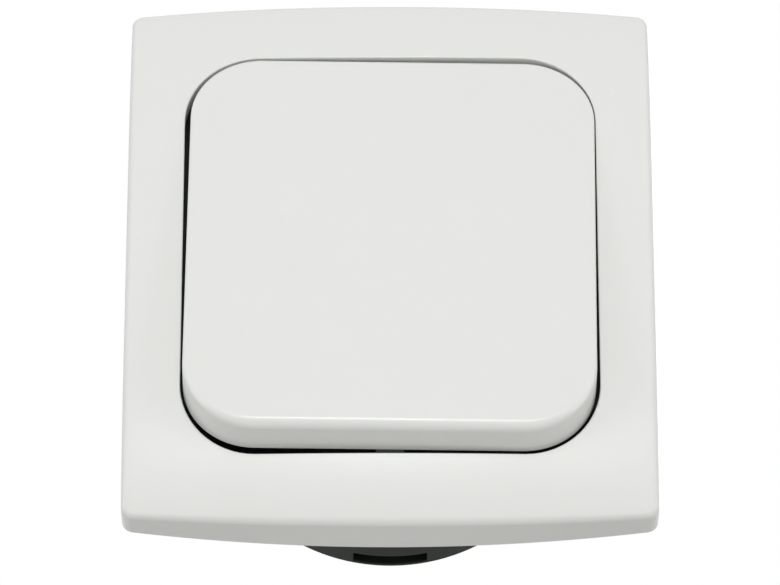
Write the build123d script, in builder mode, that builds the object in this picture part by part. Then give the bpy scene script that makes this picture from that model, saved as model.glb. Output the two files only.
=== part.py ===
"""Flush-mounted light switch: a domed cover frame, one wide rocker and the round mechanism behind them.

X runs to the right, Y into the wall and Z up, in millimetres. The wall's face is Y = 0, and the origin is midway
between the two fixing screws.
"""
import os
from math import asin, cos, degrees, radians, sin, tan

from build123d import *

os.makedirs("parts", exist_ok=True)

# cover frame
frame_width = 80.0
rear_corner_height = 86.56
rear_bow = 2.64
front_corner_height = 85.54
front_bow = 0.55
front_plane_depth = 10.0
outline_corner_radius = 1.6
dome_protrusion = 9.03
dome_radius = 611.0
dome_drop = 2.65
dome_drop_height = 41.0
frame_wall = 2.0
crease_chamfer = 0.7
opening_width = 62.6
opening_height = 67.6
opening_radius = 11.3
opening_draft = 3.0
opening_edge_chamfer = 0.3
collar_wall = 1.7
collar_rear = 4.2
leg_width = 5.0
leg_thickness = 1.3
leg_clearance = 0.2
snap_bead = 0.6

# rocker
pivot_protrusion = 4.3
travel = 10.0
face_protrusion = 10.5
rocker_width = 61.8
rocker_height = 66.2
rocker_radius = 11.0
rocker_wall = 2.0
rocker_edge_chamfer = 0.6
skirt_depth = 6.1
side_draft = 0.5
end_draft = 3.0
cap_cant = 0.55
cap_twist = 0.5
cap_shift = 0.1
cap_seat = 0.15
rib_thickness = 1.2
rib_height = 2.2
rib_spacing = 40.0
hook_width = 8.0
hook_thickness = 1.3
hook_bead = 0.7
hook_clearance = 0.2

# carrier, plunger and spring
carrier_width = 25.2
carrier_height = 18.0
carrier_thickness = 1.5
carrier_radius = 2.0
cheek_thickness = 2.1
cheek_radius = 3.2
trunnion_radius = 1.6
bearing_clearance = 0.06
trunnion_length = 2.8
tube_radius = 3.4
tube_bore_radius = 2.3
tube_length = 11.3
plunger_radius = 2.2
plunger_rear = 2.0
plunger_tip = 14.3
plunger_nose_radius = 0.9
spring_radius = 1.55
spring_wire = 0.45
spring_turns = 3
spring_seat = 0.05

# bearing ears and insulating cover
ear_thickness = 2.8
ear_clearance = 0.4
ear_radius = 3.3
cover_flange = 2.6
boss_width = 34.0
boss_height = 26.0
boss_radius = 4.0
boss_protrusion = 1.6
window_clearance = 0.3
tube_slot_width = 8.4
tube_slot_height = 10.8

# support bracket
bracket_margin = 5.0
bracket_thickness = 1.0
bracket_corner_radius = 9.0
fixing_spacing = 60.0
fixing_slot_length = 7.0
fixing_hole_radius = 2.1
tab_spacing = 36.0
tab_width = 8.0
tab_height = 4.6
bead_height = 1.6
bead_window_clearance = 0.3

# base
base_radius = 28.3
base_depth = 44.9
base_edge_chamfer = 0.8
chamber_width = 18.0
chamber_floor = 16.4
bay_width = 12.4
bay_height = 9.5
bay_rim = 3.3
bay_floor = 38.0
wire_hole_radius = 1.8
wire_spacing = 7.4
wire_inset = 6.2
inspection_width = 11.5
inspection_height = 2.6
inspection_centre = 42.0
recess_depth = 8.8
recess_height = 12.0
recess_floor = 36.0

# contacts
lever_axis_depth = 11.2
lever_travel = 13.0
lever_width = 7.0
lever_thickness = 1.0
lever_reach_up = 14.0
lever_reach_down = 10.0
cheek_rise = 2.2
cheek_length = 11.0
contact_reach = 12.0
rivet_radius = 2.0
rivet_height = 1.1
contact_gap = 0.06
strip_thickness = 1.2
strip_width = 8.0
edge_width = 4.4
edge_gap = 0.05
terminal_inset = 7.3
terminal_leg_end = 36.6

# terminals
terminal_screw_depth = 33.0
terminal_thread_radius = 1.6
terminal_thread_length = 8.0
terminal_head_radius = 3.0
terminal_head_height = 2.0
clamp_thickness = 1.2
clamp_width = 11.0
clamp_length = 8.0
clamp_opening = 2.2
side_hole_radius = 3.4

# bracket screws
bracket_screw_x = 14.0
bracket_screw_z = 17.0
bracket_screw_radius = 1.5
bracket_screw_length = 12.0
bracket_head_radius = 2.8
bracket_head_height = 1.8
screw_clearance = 0.1
slot_cut_width = 0.8
slot_cut_depth = 0.9

# claws
claw_screw_inset = 5.8
claw_screw_radius = 1.5
claw_screw_length = 30.0
claw_head_radius = 2.8
claw_head_height = 1.8
claw_head_lift = 0.65
claw_hole_clearance = 0.65
claw_inset = 3.3
claw_thickness = 1.2
claw_width = 9.0
claw_front = 1.2
claw_rear = 31.0
claw_tooth = 1.1
lug_front = 24.0
lug_thickness = 2.6
lug_reach = 6.3
thread_clearance = 0.05

# places that follow from the sizes above
rest_tilt = travel / 2
bracket_size = frame_width - 2 * bracket_margin
bay_outer = base_radius - bay_rim
bay_inner = bay_outer - bay_height
wire_centre = base_radius - wire_inset
recess_inner = base_radius - recess_depth
terminal_leg = base_radius - terminal_inset
claw_screw_x = base_radius - claw_screw_inset
claw_inner = base_radius - claw_inset
bracket_hole_radius = claw_screw_radius + claw_hole_clearance
face_height = face_protrusion - pivot_protrusion
under_face = face_height - rocker_wall
carrier_floor = under_face - cap_seat - carrier_thickness
terminal_wall = terminal_leg + clamp_opening + clamp_thickness
dome_axis_y = dome_radius - dome_protrusion
dome_half_angle = degrees(asin(0.6 * frame_width / dome_radius))

# planes that turn with the moving pieces: the rocker and the contact lever, both drawn as the switch lies at rest
carrier_plane = Plane(Location((0, -pivot_protrusion, 0), (90 - rest_tilt, 0, 0)))
cap_plane = Plane(Location((cap_shift, -pivot_protrusion, 0), (90 - rest_tilt, cap_twist, -cap_cant)))
lever_plane = Plane(Location((0, lever_axis_depth, 0), (90 + lever_travel / 2, 0, 0)))
closed_plane = Plane(Location((0, lever_axis_depth, 0), (90 - lever_travel / 2, 0, 0)))
dome_plane = Plane(
    origin=(0, dome_axis_y, 0),
    x_dir=(-sin(radians(dome_half_angle)), -cos(radians(dome_half_angle)), 0),
    z_dir=(-cos(radians(dome_half_angle)), sin(radians(dome_half_angle)), 0),
)
dome_axis = Axis((0, dome_axis_y, 0), (0, 0, 1))


def side_plane(plane, x):
    """The plane whose drawing runs outward and upward from the given plane's origin, at this distance to the right."""
    origin = plane.origin + plane.x_dir * x
    return Plane(origin=origin, x_dir=plane.z_dir, z_dir=-plane.x_dir)


def dome_profile(inset):
    """Section of the frame's domed front, from below the frame to above it, drawn as distance from the dome's axis."""
    half = 0.6 * rear_corner_height
    heights = [half * n / 3 for n in range(-3, 4)]
    crown = dome_radius - inset
    points = [(crown - dome_drop * (abs(z) / dome_drop_height) ** 4, z) for z in heights]
    with BuildLine() as profile:
        Spline(*points)
        Polyline(
            points[-1], (dome_axis_y - front_plane_depth, half), (dome_axis_y - front_plane_depth, -half), points[0]
        )
    return profile


def bowed_outline(inset, corner_height, bow):
    """Outline of the frame: straight sides, gently bowed top and bottom."""
    half_width = frame_width / 2 - inset
    half_height = corner_height / 2 - inset
    with BuildLine() as outline:
        ThreePointArc((-half_width, half_height), (0, half_height + bow), (half_width, half_height))
        Line((half_width, half_height), (half_width, -half_height))
        ThreePointArc((half_width, -half_height), (0, -half_height - bow), (-half_width, -half_height))
        Line((-half_width, -half_height), (-half_width, half_height))
    return outline


# The dome that trims the frame's front, and the same dome one wall further in.
with BuildPart() as outer_dome:
    with BuildSketch(dome_plane):
        add(dome_profile(0).line)
        make_face()
    revolve(axis=dome_axis, revolution_arc=2 * dome_half_angle)

with BuildPart() as inner_dome:
    with BuildSketch(dome_plane):
        add(dome_profile(frame_wall).line)
        make_face()
    revolve(axis=dome_axis, revolution_arc=2 * dome_half_angle)

# The hollow behind the frame's walls. It leaves the collar round the opening standing.
with BuildPart() as frame_hollow:
    with BuildSketch(Plane.XZ.offset(-1)):
        add(bowed_outline(frame_wall, rear_corner_height, rear_bow).line)
        make_face()
    with BuildSketch(Plane.XZ.offset(front_plane_depth)):
        add(bowed_outline(frame_wall, front_corner_height, front_bow).line)
        make_face()
    loft(ruled=True)
    add(inner_dome.part, mode=Mode.INTERSECT)
    with BuildSketch(Plane.XZ.offset(collar_rear)):
        RectangleRounded(
            opening_width + 2 * collar_wall, opening_height + 2 * collar_wall, opening_radius + collar_wall
        )
    extrude(amount=front_plane_depth, mode=Mode.SUBTRACT)

# The cover frame: a domed moulded shell, open at the back, with a collar round its opening and four snap legs.
with BuildPart() as cover_frame:
    with BuildSketch(Plane.XZ) as rear_outline:
        add(bowed_outline(0, rear_corner_height, rear_bow).line)
        make_face()
        fillet(rear_outline.vertices(), outline_corner_radius)
    with BuildSketch(Plane.XZ.offset(front_plane_depth)) as front_outline:
        add(bowed_outline(0, front_corner_height, front_bow).line)
        make_face()
        fillet(front_outline.vertices(), outline_corner_radius)
    loft(ruled=True)
    add(outer_dome.part, mode=Mode.INTERSECT)
    chamfer(cover_frame.faces().sort_by(Axis.Y)[0].outer_wire().edges(), crease_chamfer)
    add(frame_hollow.part, mode=Mode.SUBTRACT)
    with BuildSketch(Plane.XZ.offset(front_plane_depth)):
        RectangleRounded(opening_width, opening_height, opening_radius)
    extrude(amount=-front_plane_depth, taper=-opening_draft, mode=Mode.SUBTRACT)
    chamfer(cover_frame.faces().sort_by(Axis.Y)[0].inner_wires()[0].edges(), opening_edge_chamfer)
    # snap legs that reach back beside the bracket's tabs, each with a bead for the tab's window
    with BuildSketch(Plane.XZ.offset(bracket_thickness + leg_clearance)):
        with Locations((0, tab_spacing / 2), (0, -tab_spacing / 2)):
            with GridLocations(bracket_size + leg_thickness + 2 * leg_clearance, 0, 2, 1):
                Rectangle(leg_thickness, leg_width)
    extrude(until=Until.NEXT)
    with BuildSketch(Plane.XZ.offset(bracket_thickness + leg_clearance + 1)):
        with Locations((0, tab_spacing / 2), (0, -tab_spacing / 2)):
            with GridLocations(bracket_size + 2 * leg_clearance - snap_bead, 0, 2, 1):
                Rectangle(snap_bead, leg_width - 1)
    extrude(amount=bead_height)
cover_frame.part.label = "cover_frame"
export_step(cover_frame.part, "parts/cover_frame.step")

# The rocker: a flat-faced moulded cap with a drafted skirt, ribs and snap hooks. Its skirt flares more above and below,
# so that it keeps near the opening's edge as it tilts. It sits slightly askew.
skirt_end_width = rocker_width + 2 * skirt_depth * tan(radians(side_draft))
skirt_end_height = rocker_height + 2 * skirt_depth * tan(radians(end_draft))
with BuildPart() as rocker:
    with BuildSketch(cap_plane.offset(face_height)):
        RectangleRounded(rocker_width, rocker_height, rocker_radius)
    with BuildSketch(cap_plane.offset(face_height - skirt_depth)):
        RectangleRounded(skirt_end_width, skirt_end_height, rocker_radius)
    loft(ruled=True)
    chamfer(rocker.edges().group_by(Axis(cap_plane.origin, cap_plane.z_dir))[-1], rocker_edge_chamfer)
    with BuildSketch(cap_plane.offset(under_face)):
        RectangleRounded(
            rocker_width - 2 * rocker_wall, rocker_height - 2 * rocker_wall, rocker_radius - rocker_wall
        )
    extrude(amount=-skirt_depth, mode=Mode.SUBTRACT)
    with BuildSketch(cap_plane.offset(under_face)):
        with GridLocations(rib_spacing, 0, 2, 1):
            Rectangle(rib_thickness, rocker_height - rocker_wall)
        with GridLocations(0, rib_spacing, 1, 2):
            Rectangle(rocker_width - rocker_wall, rib_thickness)
    extrude(amount=-rib_height)
    hook_reach = cap_seat + carrier_thickness + hook_clearance
    with BuildSketch(cap_plane.offset(under_face)):
        with GridLocations(0, carrier_height + hook_thickness + 2 * hook_clearance, 1, 2):
            Rectangle(hook_width, hook_thickness)
    extrude(amount=-hook_reach - 2 * hook_bead)
    with BuildSketch(cap_plane.offset(under_face - hook_reach)):
        with GridLocations(0, carrier_height + 2 * hook_clearance - hook_bead, 1, 2):
            Rectangle(hook_width, hook_bead)
    extrude(amount=-hook_bead)
rocker.part.label = "rocker"
export_step(rocker.part, "parts/rocker.step")

# The carrier that the rocker clips on to: a plate, two cheeks with trunnions, and the plunger's tube.
cheek_centre = (carrier_width - cheek_thickness) / 2
with BuildPart() as rocker_carrier:
    with BuildSketch(carrier_plane.offset(carrier_floor)):
        RectangleRounded(carrier_width, carrier_height, carrier_radius)
    extrude(amount=carrier_thickness)
    for side in (-1, 1):
        with BuildSketch(side_plane(carrier_plane, side * cheek_centre)):
            Circle(cheek_radius)
            with Locations((carrier_floor / 2, 0)):
                Rectangle(carrier_floor, 2 * cheek_radius)
        extrude(amount=cheek_thickness / 2, both=True)
        with BuildSketch(side_plane(carrier_plane, side * (carrier_width / 2 + trunnion_length / 2))):
            Circle(trunnion_radius)
        extrude(amount=trunnion_length / 2 + 0.2, both=True)
    with BuildSketch(carrier_plane.offset(carrier_floor)):
        Circle(tube_radius)
    extrude(amount=-tube_length)
    with BuildSketch(carrier_plane.offset(carrier_floor)):
        Circle(tube_bore_radius)
    extrude(amount=-tube_length, mode=Mode.SUBTRACT)
rocker_carrier.part.label = "rocker_carrier"
export_step(rocker_carrier.part, "parts/rocker_carrier.step")

# The plunger: a round pin with a tapered, blunt nose that rides on the contact lever.
with BuildPart() as plunger:
    with BuildSketch(side_plane(carrier_plane, 0)) as plunger_profile:
        with BuildLine():
            Polyline(
                (-plunger_rear, 0),
                (-plunger_rear, plunger_radius),
                (-plunger_tip + 2 * plunger_radius, plunger_radius),
                (-plunger_tip, plunger_nose_radius),
                (-plunger_tip, 0),
                close=True,
            )
        make_face()
    revolve(axis=Axis(carrier_plane.origin, carrier_plane.z_dir))
plunger.part.label = "plunger"
export_step(plunger.part, "parts/plunger.step")

# The coil spring between the carrier's plate and the plunger.
spring_length = carrier_floor + plunger_rear - spring_wire - 2 * spring_seat
spring_base = carrier_plane.offset(-plunger_rear + spring_wire / 2 + spring_seat)
with BuildPart() as plunger_spring:
    with BuildLine() as coil:
        Helix(
            pitch=spring_length / spring_turns,
            height=spring_length,
            radius=spring_radius,
            center=spring_base.origin,
            direction=spring_base.z_dir,
        )
    with BuildSketch(Plane(origin=coil.line @ 0, z_dir=coil.line % 0)):
        Rectangle(spring_wire, spring_wire)
    sweep(path=coil.line, is_frenet=True)
plunger_spring.part.label = "plunger_spring"
export_step(plunger_spring.part, "parts/plunger_spring.step")

# The insulating cover: a flange that closes the base, a boss through the bracket's window and the two bearing ears.
ear_centre = carrier_width / 2 + ear_clearance + ear_thickness / 2
with BuildPart() as mechanism_cover:
    with BuildSketch(Plane.XZ):
        Circle(base_radius)
    extrude(amount=-cover_flange)
    with BuildSketch(Plane.XZ):
        RectangleRounded(boss_width, boss_height, boss_radius)
    extrude(amount=boss_protrusion)
    for side in (-1, 1):
        with BuildSketch(Plane.YZ.offset(side * ear_centre)):
            with Locations((-pivot_protrusion, 0)):
                Circle(ear_radius)
            with Locations((-pivot_protrusion / 2, 0)):
                Rectangle(pivot_protrusion, 2 * ear_radius)
        extrude(amount=ear_thickness / 2, both=True)
    with BuildSketch(Plane.XZ.offset(boss_protrusion)):
        Rectangle(tube_slot_width, tube_slot_height)
    extrude(amount=-boss_protrusion - cover_flange, mode=Mode.SUBTRACT)
    # room for the carrier's cheeks between the ears
    with BuildSketch(Plane.XZ.offset(boss_protrusion)):
        with GridLocations(2 * cheek_centre, 0, 2, 1):
            Rectangle(cheek_thickness + 2 * ear_clearance, 2 * cheek_radius + 4)
    extrude(amount=-boss_protrusion, mode=Mode.SUBTRACT)
    with BuildSketch(Plane.YZ):
        with Locations((-pivot_protrusion, 0)):
            Circle(trunnion_radius + bearing_clearance)
    extrude(amount=base_radius, both=True, mode=Mode.SUBTRACT)
    # the screws pass through the flange, and the claws through its open sides
    with BuildSketch(Plane.XZ):
        with Locations((bracket_screw_x, bracket_screw_z), (-bracket_screw_x, -bracket_screw_z)):
            Circle(bracket_screw_radius + screw_clearance)
    extrude(amount=-cover_flange, mode=Mode.SUBTRACT)
    with BuildSketch(Plane.XZ):
        with GridLocations(2 * recess_inner + base_radius, 0, 2, 1):
            Rectangle(base_radius, recess_height)
    extrude(amount=-cover_flange, mode=Mode.SUBTRACT)
mechanism_cover.part.label = "mechanism_cover"
export_step(mechanism_cover.part, "parts/mechanism_cover.step")

# The support bracket: a square steel plate with fixing slots, a window and four tabs bent up for the frame's legs.
with BuildPart() as support_bracket:
    with BuildSketch(Plane.XZ):
        RectangleRounded(bracket_size, bracket_size, bracket_corner_radius)
        RectangleRounded(
            boss_width + 2 * window_clearance,
            boss_height + 2 * window_clearance,
            boss_radius + window_clearance,
            mode=Mode.SUBTRACT,
        )
        with GridLocations(0, fixing_spacing, 1, 2):
            SlotOverall(fixing_slot_length, 2 * fixing_hole_radius, rotation=90, mode=Mode.SUBTRACT)
        with Locations((bracket_screw_x, bracket_screw_z), (-bracket_screw_x, -bracket_screw_z)):
            Circle(bracket_screw_radius + screw_clearance, mode=Mode.SUBTRACT)
        with GridLocations(2 * claw_screw_x, 0, 2, 1):
            Circle(bracket_hole_radius, mode=Mode.SUBTRACT)
    extrude(amount=bracket_thickness)
    with BuildSketch(Plane.XZ.offset(bracket_thickness)):
        with GridLocations(bracket_size - bracket_thickness, tab_spacing, 2, 2):
            Rectangle(bracket_thickness, tab_width)
    extrude(amount=tab_height - bracket_thickness)
    # windows for the snap beads
    with BuildSketch(Plane.YZ):
        with GridLocations(0, tab_spacing, 1, 2):
            with Locations((-bracket_thickness - leg_clearance - 1 - bead_height / 2, 0)):
                Rectangle(bead_height + 2 * bead_window_clearance, leg_width - 1 + 2 * bead_window_clearance)
    extrude(amount=frame_width, both=True, mode=Mode.SUBTRACT)
support_bracket.part.label = "support_bracket"
export_step(support_bracket.part, "parts/support_bracket.step")

# The base: a round moulded pot with a contact chamber, two terminal bays, side recesses for the claws and wire holes.
base_length = base_depth - cover_flange
with BuildPart() as mechanism_base:
    with BuildSketch(Plane.XZ.offset(-cover_flange)):
        Circle(base_radius)
    extrude(amount=-base_length)
    chamfer(mechanism_base.edges().sort_by(Axis.Y)[-1], base_edge_chamfer)
    with BuildSketch(Plane.XZ.offset(-cover_flange)):
        Rectangle(chamber_width, 2 * bay_outer)
    extrude(amount=cover_flange - chamber_floor, mode=Mode.SUBTRACT)
    with BuildSketch(Plane.XZ.offset(-chamber_floor)):
        with GridLocations(0, bay_outer + bay_inner, 1, 2):
            Rectangle(bay_width, bay_height)
    extrude(amount=chamber_floor - bay_floor, mode=Mode.SUBTRACT)
    with BuildSketch(Plane.XZ.offset(-cover_flange)):
        with GridLocations(2 * recess_inner + base_radius, 0, 2, 1):
            Rectangle(base_radius, recess_height)
    extrude(amount=cover_flange - recess_floor, mode=Mode.SUBTRACT)
    # wire holes from the rear, with the slot that shows the wires' insulation
    with BuildSketch(Plane.XZ.offset(-base_depth)):
        with GridLocations(wire_spacing, 2 * wire_centre, 2, 2):
            Circle(wire_hole_radius)
    extrude(amount=base_depth - bay_floor, mode=Mode.SUBTRACT)
    with BuildSketch(Plane.XZ.offset(-inspection_centre - inspection_height / 2)):
        with GridLocations(0, base_radius + wire_centre, 1, 2):
            Rectangle(inspection_width, base_radius - wire_centre)
    extrude(amount=inspection_height, mode=Mode.SUBTRACT)
    # side holes to the terminal screws
    with BuildSketch(Plane.XY):
        with Locations((0, terminal_screw_depth)):
            Circle(side_hole_radius)
    extrude(amount=base_radius, both=True, mode=Mode.SUBTRACT)
    with BuildSketch(Plane.XZ.offset(-cover_flange)):
        with Locations((bracket_screw_x, bracket_screw_z), (-bracket_screw_x, -bracket_screw_z)):
            Circle(bracket_screw_radius + thread_clearance)
    extrude(amount=-bracket_screw_length, mode=Mode.SUBTRACT)
mechanism_base.part.label = "mechanism_base"
export_step(mechanism_base.part, "parts/mechanism_base.step")

# The two screws that hold bracket, cover and base together.
with BuildPart() as bracket_screws:
    with Locations(
        Plane.XZ.offset(bracket_thickness).location * Location((bracket_screw_x, bracket_screw_z, 0)),
        Plane.XZ.offset(bracket_thickness).location * Location((-bracket_screw_x, -bracket_screw_z, 0)),
    ):
        Cylinder(bracket_head_radius, bracket_head_height, align=(Align.CENTER, Align.CENTER, Align.MIN))
        Cylinder(bracket_screw_radius, bracket_screw_length, align=(Align.CENTER, Align.CENTER, Align.MAX))
    with BuildSketch(Plane.XZ.offset(bracket_thickness + bracket_head_height)):
        with Locations((bracket_screw_x, bracket_screw_z), (-bracket_screw_x, -bracket_screw_z)):
            Rectangle(2 * bracket_head_radius, slot_cut_width)
    extrude(amount=-slot_cut_depth, mode=Mode.SUBTRACT)
bracket_screws.part.label = "bracket_screws"
export_step(bracket_screws.part, "parts/bracket_screws.step")

# The contact lever: a brass channel that rocks on a knife edge, drawn flat on its own tilted plane.
with BuildPart() as contact_lever:
    with BuildSketch(lever_plane):
        with Locations((0, (lever_reach_up - lever_reach_down) / 2)):
            RectangleRounded(lever_width, lever_reach_up + lever_reach_down, 1.5)
    extrude(amount=lever_thickness)
    with BuildSketch(lever_plane.offset(lever_thickness)):
        with GridLocations(lever_width - lever_thickness, 0, 2, 1):
            Rectangle(lever_thickness, cheek_length)
    extrude(amount=cheek_rise)
contact_lever.part.label = "contact_lever"
export_step(contact_lever.part, "parts/contact_lever.step")

# Flat silver rivets, one on the lever and one on the line strip. They meet when the switch is on.
with BuildPart() as lever_tip:
    with BuildSketch(side_plane(lever_plane, 0)):
        with BuildLine():
            Polyline(
                (-rivet_height, contact_reach + rivet_radius),
                (0, contact_reach + rivet_radius),
                (0, contact_reach),
                (-rivet_height, contact_reach),
                close=True,
            )
        make_face()
    revolve(axis=Axis(lever_plane.origin + lever_plane.y_dir * contact_reach, lever_plane.z_dir))
lever_tip.part.label = "lever_tip"
export_step(lever_tip.part, "parts/lever_tip.step")

# The fixed rivet faces the lever's rivet where that stands with the switch on.
meeting_point = closed_plane.origin + closed_plane.y_dir * contact_reach - closed_plane.z_dir * rivet_height
rivet_z = meeting_point.Z
rivet_front = meeting_point.Y + contact_gap + rivet_radius * sin(radians(lever_travel / 2))
strip_front = rivet_front + rivet_height
with BuildPart() as line_tip:
    with BuildSketch(Plane.YZ):
        with BuildLine():
            Polyline(
                (rivet_front, rivet_z),
                (strip_front, rivet_z),
                (strip_front, rivet_z + rivet_radius),
                (rivet_front, rivet_z + rivet_radius),
                close=True,
            )
        make_face()
    revolve(axis=Axis((0, rivet_front, rivet_z), (0, 1, 0)))
line_tip.part.label = "line_tip"
export_step(line_tip.part, "parts/line_tip.step")

# The line strip: bent brass, from below the fixed rivet up and back to the upper terminal.
strip_rear = strip_front + strip_thickness
with BuildPart() as line_strip:
    with BuildSketch(Plane.YZ):
        with BuildLine():
            Polyline(
                (strip_front, rivet_z - rivet_radius - 0.6),
                (strip_front, terminal_leg),
                (terminal_leg_end, terminal_leg),
                (terminal_leg_end, terminal_leg - strip_thickness),
                (strip_rear, terminal_leg - strip_thickness),
                (strip_rear, rivet_z - rivet_radius - 0.6),
                close=True,
            )
        make_face()
    extrude(amount=strip_width / 2, both=True)
    with BuildSketch(Plane.XY.offset(terminal_leg)):
        with Locations((0, terminal_screw_depth)):
            Circle(terminal_thread_radius)
    extrude(amount=-strip_thickness, mode=Mode.SUBTRACT)
line_strip.part.label = "line_strip"
export_step(line_strip.part, "parts/line_strip.step")

# The load strip: bent brass with the knife edge that the lever rocks on, down and back to the lower terminal.
with BuildPart() as load_strip:
    with BuildSketch(Plane.YZ):
        with BuildLine():
            Polyline(
                (lever_axis_depth + edge_gap, 0),
                (strip_front, edge_width / 2),
                (strip_rear, edge_width / 2),
                (strip_rear, -terminal_leg + strip_thickness),
                (terminal_leg_end, -terminal_leg + strip_thickness),
                (terminal_leg_end, -terminal_leg),
                (strip_front, -terminal_leg),
                (strip_front, -edge_width / 2),
                close=True,
            )
        make_face()
    extrude(amount=strip_width / 2, both=True)
    with BuildSketch(Plane.XY.offset(-terminal_leg)):
        with Locations((0, terminal_screw_depth)):
            Circle(terminal_thread_radius)
    extrude(amount=strip_thickness, mode=Mode.SUBTRACT)
load_strip.part.label = "load_strip"
export_step(load_strip.part, "parts/load_strip.step")

# The terminals' clamp plates, at the top and at the bottom, standing open as supplied.
clamp_face = terminal_leg + clamp_opening
with BuildPart() as line_clamp:
    with BuildSketch(Plane.XY.offset(clamp_face)):
        with Locations((0, terminal_screw_depth)):
            Rectangle(clamp_width, clamp_length)
            Circle(terminal_thread_radius + thread_clearance, mode=Mode.SUBTRACT)
    extrude(amount=clamp_thickness)
line_clamp.part.label = "line_clamp"
export_step(line_clamp.part, "parts/line_clamp.step")

with BuildPart() as load_clamp:
    add(line_clamp.part.mirror(Plane.XY))
load_clamp.part.label = "load_clamp"
export_step(load_clamp.part, "parts/load_clamp.step")

# The terminals' screws, reached through the holes in the base's side.
with BuildPart() as line_screw:
    with BuildSketch(Plane.XY.offset(terminal_wall)):
        with Locations((0, terminal_screw_depth)):
            Circle(terminal_head_radius)
    extrude(amount=terminal_head_height)
    with BuildSketch(Plane.XY.offset(terminal_wall)):
        with Locations((0, terminal_screw_depth)):
            Circle(terminal_thread_radius)
    extrude(amount=-terminal_thread_length)
    with BuildSketch(Plane.XY.offset(terminal_wall + terminal_head_height)):
        with Locations((0, terminal_screw_depth)):
            Rectangle(2 * terminal_head_radius, slot_cut_width)
    extrude(amount=-slot_cut_depth, mode=Mode.SUBTRACT)
line_screw.part.label = "line_screw"
export_step(line_screw.part, "parts/line_screw.step")

with BuildPart() as load_screw:
    add(line_screw.part.mirror(Plane.XY))
load_screw.part.label = "load_screw"
export_step(load_screw.part, "parts/load_screw.step")

# The spreading claws: a steel strip beside the base with a threaded lug and a toothed end.
lug_outer = claw_inner + claw_thickness
with BuildPart() as claw_right:
    with BuildSketch(Plane.XY):
        with BuildLine():
            Polyline(
                (claw_inner, claw_front),
                (claw_inner, lug_front),
                (lug_outer - lug_reach, lug_front),
                (lug_outer - lug_reach, lug_front + lug_thickness),
                (claw_inner, lug_front + lug_thickness),
                (claw_inner, claw_rear),
                (lug_outer + claw_tooth, claw_rear),
                (lug_outer, claw_rear - 2.5 * claw_thickness),
                (lug_outer, claw_front),
                close=True,
            )
        make_face()
    extrude(amount=claw_width / 2, both=True)
    with BuildSketch(Plane.XZ.offset(-lug_front)):
        with Locations((claw_screw_x, 0)):
            Circle(claw_screw_radius + thread_clearance)
    extrude(amount=-lug_thickness, mode=Mode.SUBTRACT)
claw_right.part.label = "claw_right"
export_step(claw_right.part, "parts/claw_right.step")

with BuildPart() as claw_left:
    add(claw_right.part.mirror(Plane.YZ))
claw_left.part.label = "claw_left"
export_step(claw_left.part, "parts/claw_left.step")

# The claws' screws, whose heads stand just proud of the bracket.
claw_head_front = bracket_thickness + claw_head_lift + claw_head_height
with BuildPart() as claw_screw_right:
    with BuildSketch(Plane.XZ.offset(claw_head_front - claw_head_height)):
        with Locations((claw_screw_x, 0)):
            Circle(claw_head_radius)
    extrude(amount=claw_head_height)
    with BuildSketch(Plane.XZ.offset(claw_head_front - claw_head_height)):
        with Locations((claw_screw_x, 0)):
            Circle(claw_screw_radius)
    extrude(amount=-claw_screw_length)
    with BuildSketch(Plane.XZ.offset(claw_head_front)):
        with Locations((claw_screw_x, 0)):
            Rectangle(2 * claw_head_radius, slot_cut_width)
    extrude(amount=-slot_cut_depth, mode=Mode.SUBTRACT)
claw_screw_right.part.label = "claw_screw_right"
export_step(claw_screw_right.part, "parts/claw_screw_right.step")

with BuildPart() as claw_screw_left:
    add(claw_screw_right.part.mirror(Plane.YZ))
claw_screw_left.part.label = "claw_screw_left"
export_step(claw_screw_left.part, "parts/claw_screw_left.step")
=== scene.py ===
import math

import bmesh
import bpy
from mathutils import Matrix, Vector


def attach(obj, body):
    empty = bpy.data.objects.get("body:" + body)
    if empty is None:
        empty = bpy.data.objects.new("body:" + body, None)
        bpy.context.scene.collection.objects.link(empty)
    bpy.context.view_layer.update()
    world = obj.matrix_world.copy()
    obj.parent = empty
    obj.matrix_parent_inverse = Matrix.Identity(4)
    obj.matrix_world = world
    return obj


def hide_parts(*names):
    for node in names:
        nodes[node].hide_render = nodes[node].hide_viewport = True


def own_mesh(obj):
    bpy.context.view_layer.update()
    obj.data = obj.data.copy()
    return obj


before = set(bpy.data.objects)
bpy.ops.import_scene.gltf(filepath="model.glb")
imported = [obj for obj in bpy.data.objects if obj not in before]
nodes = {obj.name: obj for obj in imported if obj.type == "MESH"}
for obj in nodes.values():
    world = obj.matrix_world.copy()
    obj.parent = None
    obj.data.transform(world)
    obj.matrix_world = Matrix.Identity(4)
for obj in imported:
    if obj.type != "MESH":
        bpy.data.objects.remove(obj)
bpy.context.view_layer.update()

# The base and its insulating cover: a round pot that carries the contacts and goes into the wall box, and the lid that
# closes it. Both are compression-moulded phenolic, a thermoset filled with wood flour: nearly black with a green-brown
# cast, satin, faintly mottled, with edges that the polished mould leaves slightly round.
MM = 0.001
PER_MM = 1000.0


def linear(hex_colour):
    """An sRGB colour, written as in "#272c26", as the linear values that a shader takes."""
    channels = [int(hex_colour[i:i + 2], 16) / 255 for i in (1, 3, 5)]
    return [c / 12.92 if c <= 0.04045 else ((c + 0.055) / 1.055) ** 2.4 for c in channels] + [1.0]


def add_node(material, kind, settings=None, links=None):
    """Adds one node: settings by property, socket name or socket number, links as {socket: (node, its output)}."""
    node = material.node_tree.nodes.new(kind)
    for name, value in (settings or {}).items():
        if isinstance(name, int) or name in node.inputs:
            node.inputs[name].default_value = value
        else:
            setattr(node, name, value)
    for name, (source, output) in (links or {}).items():
        material.node_tree.links.new(source.outputs[output], node.inputs[name])
    return node


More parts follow.
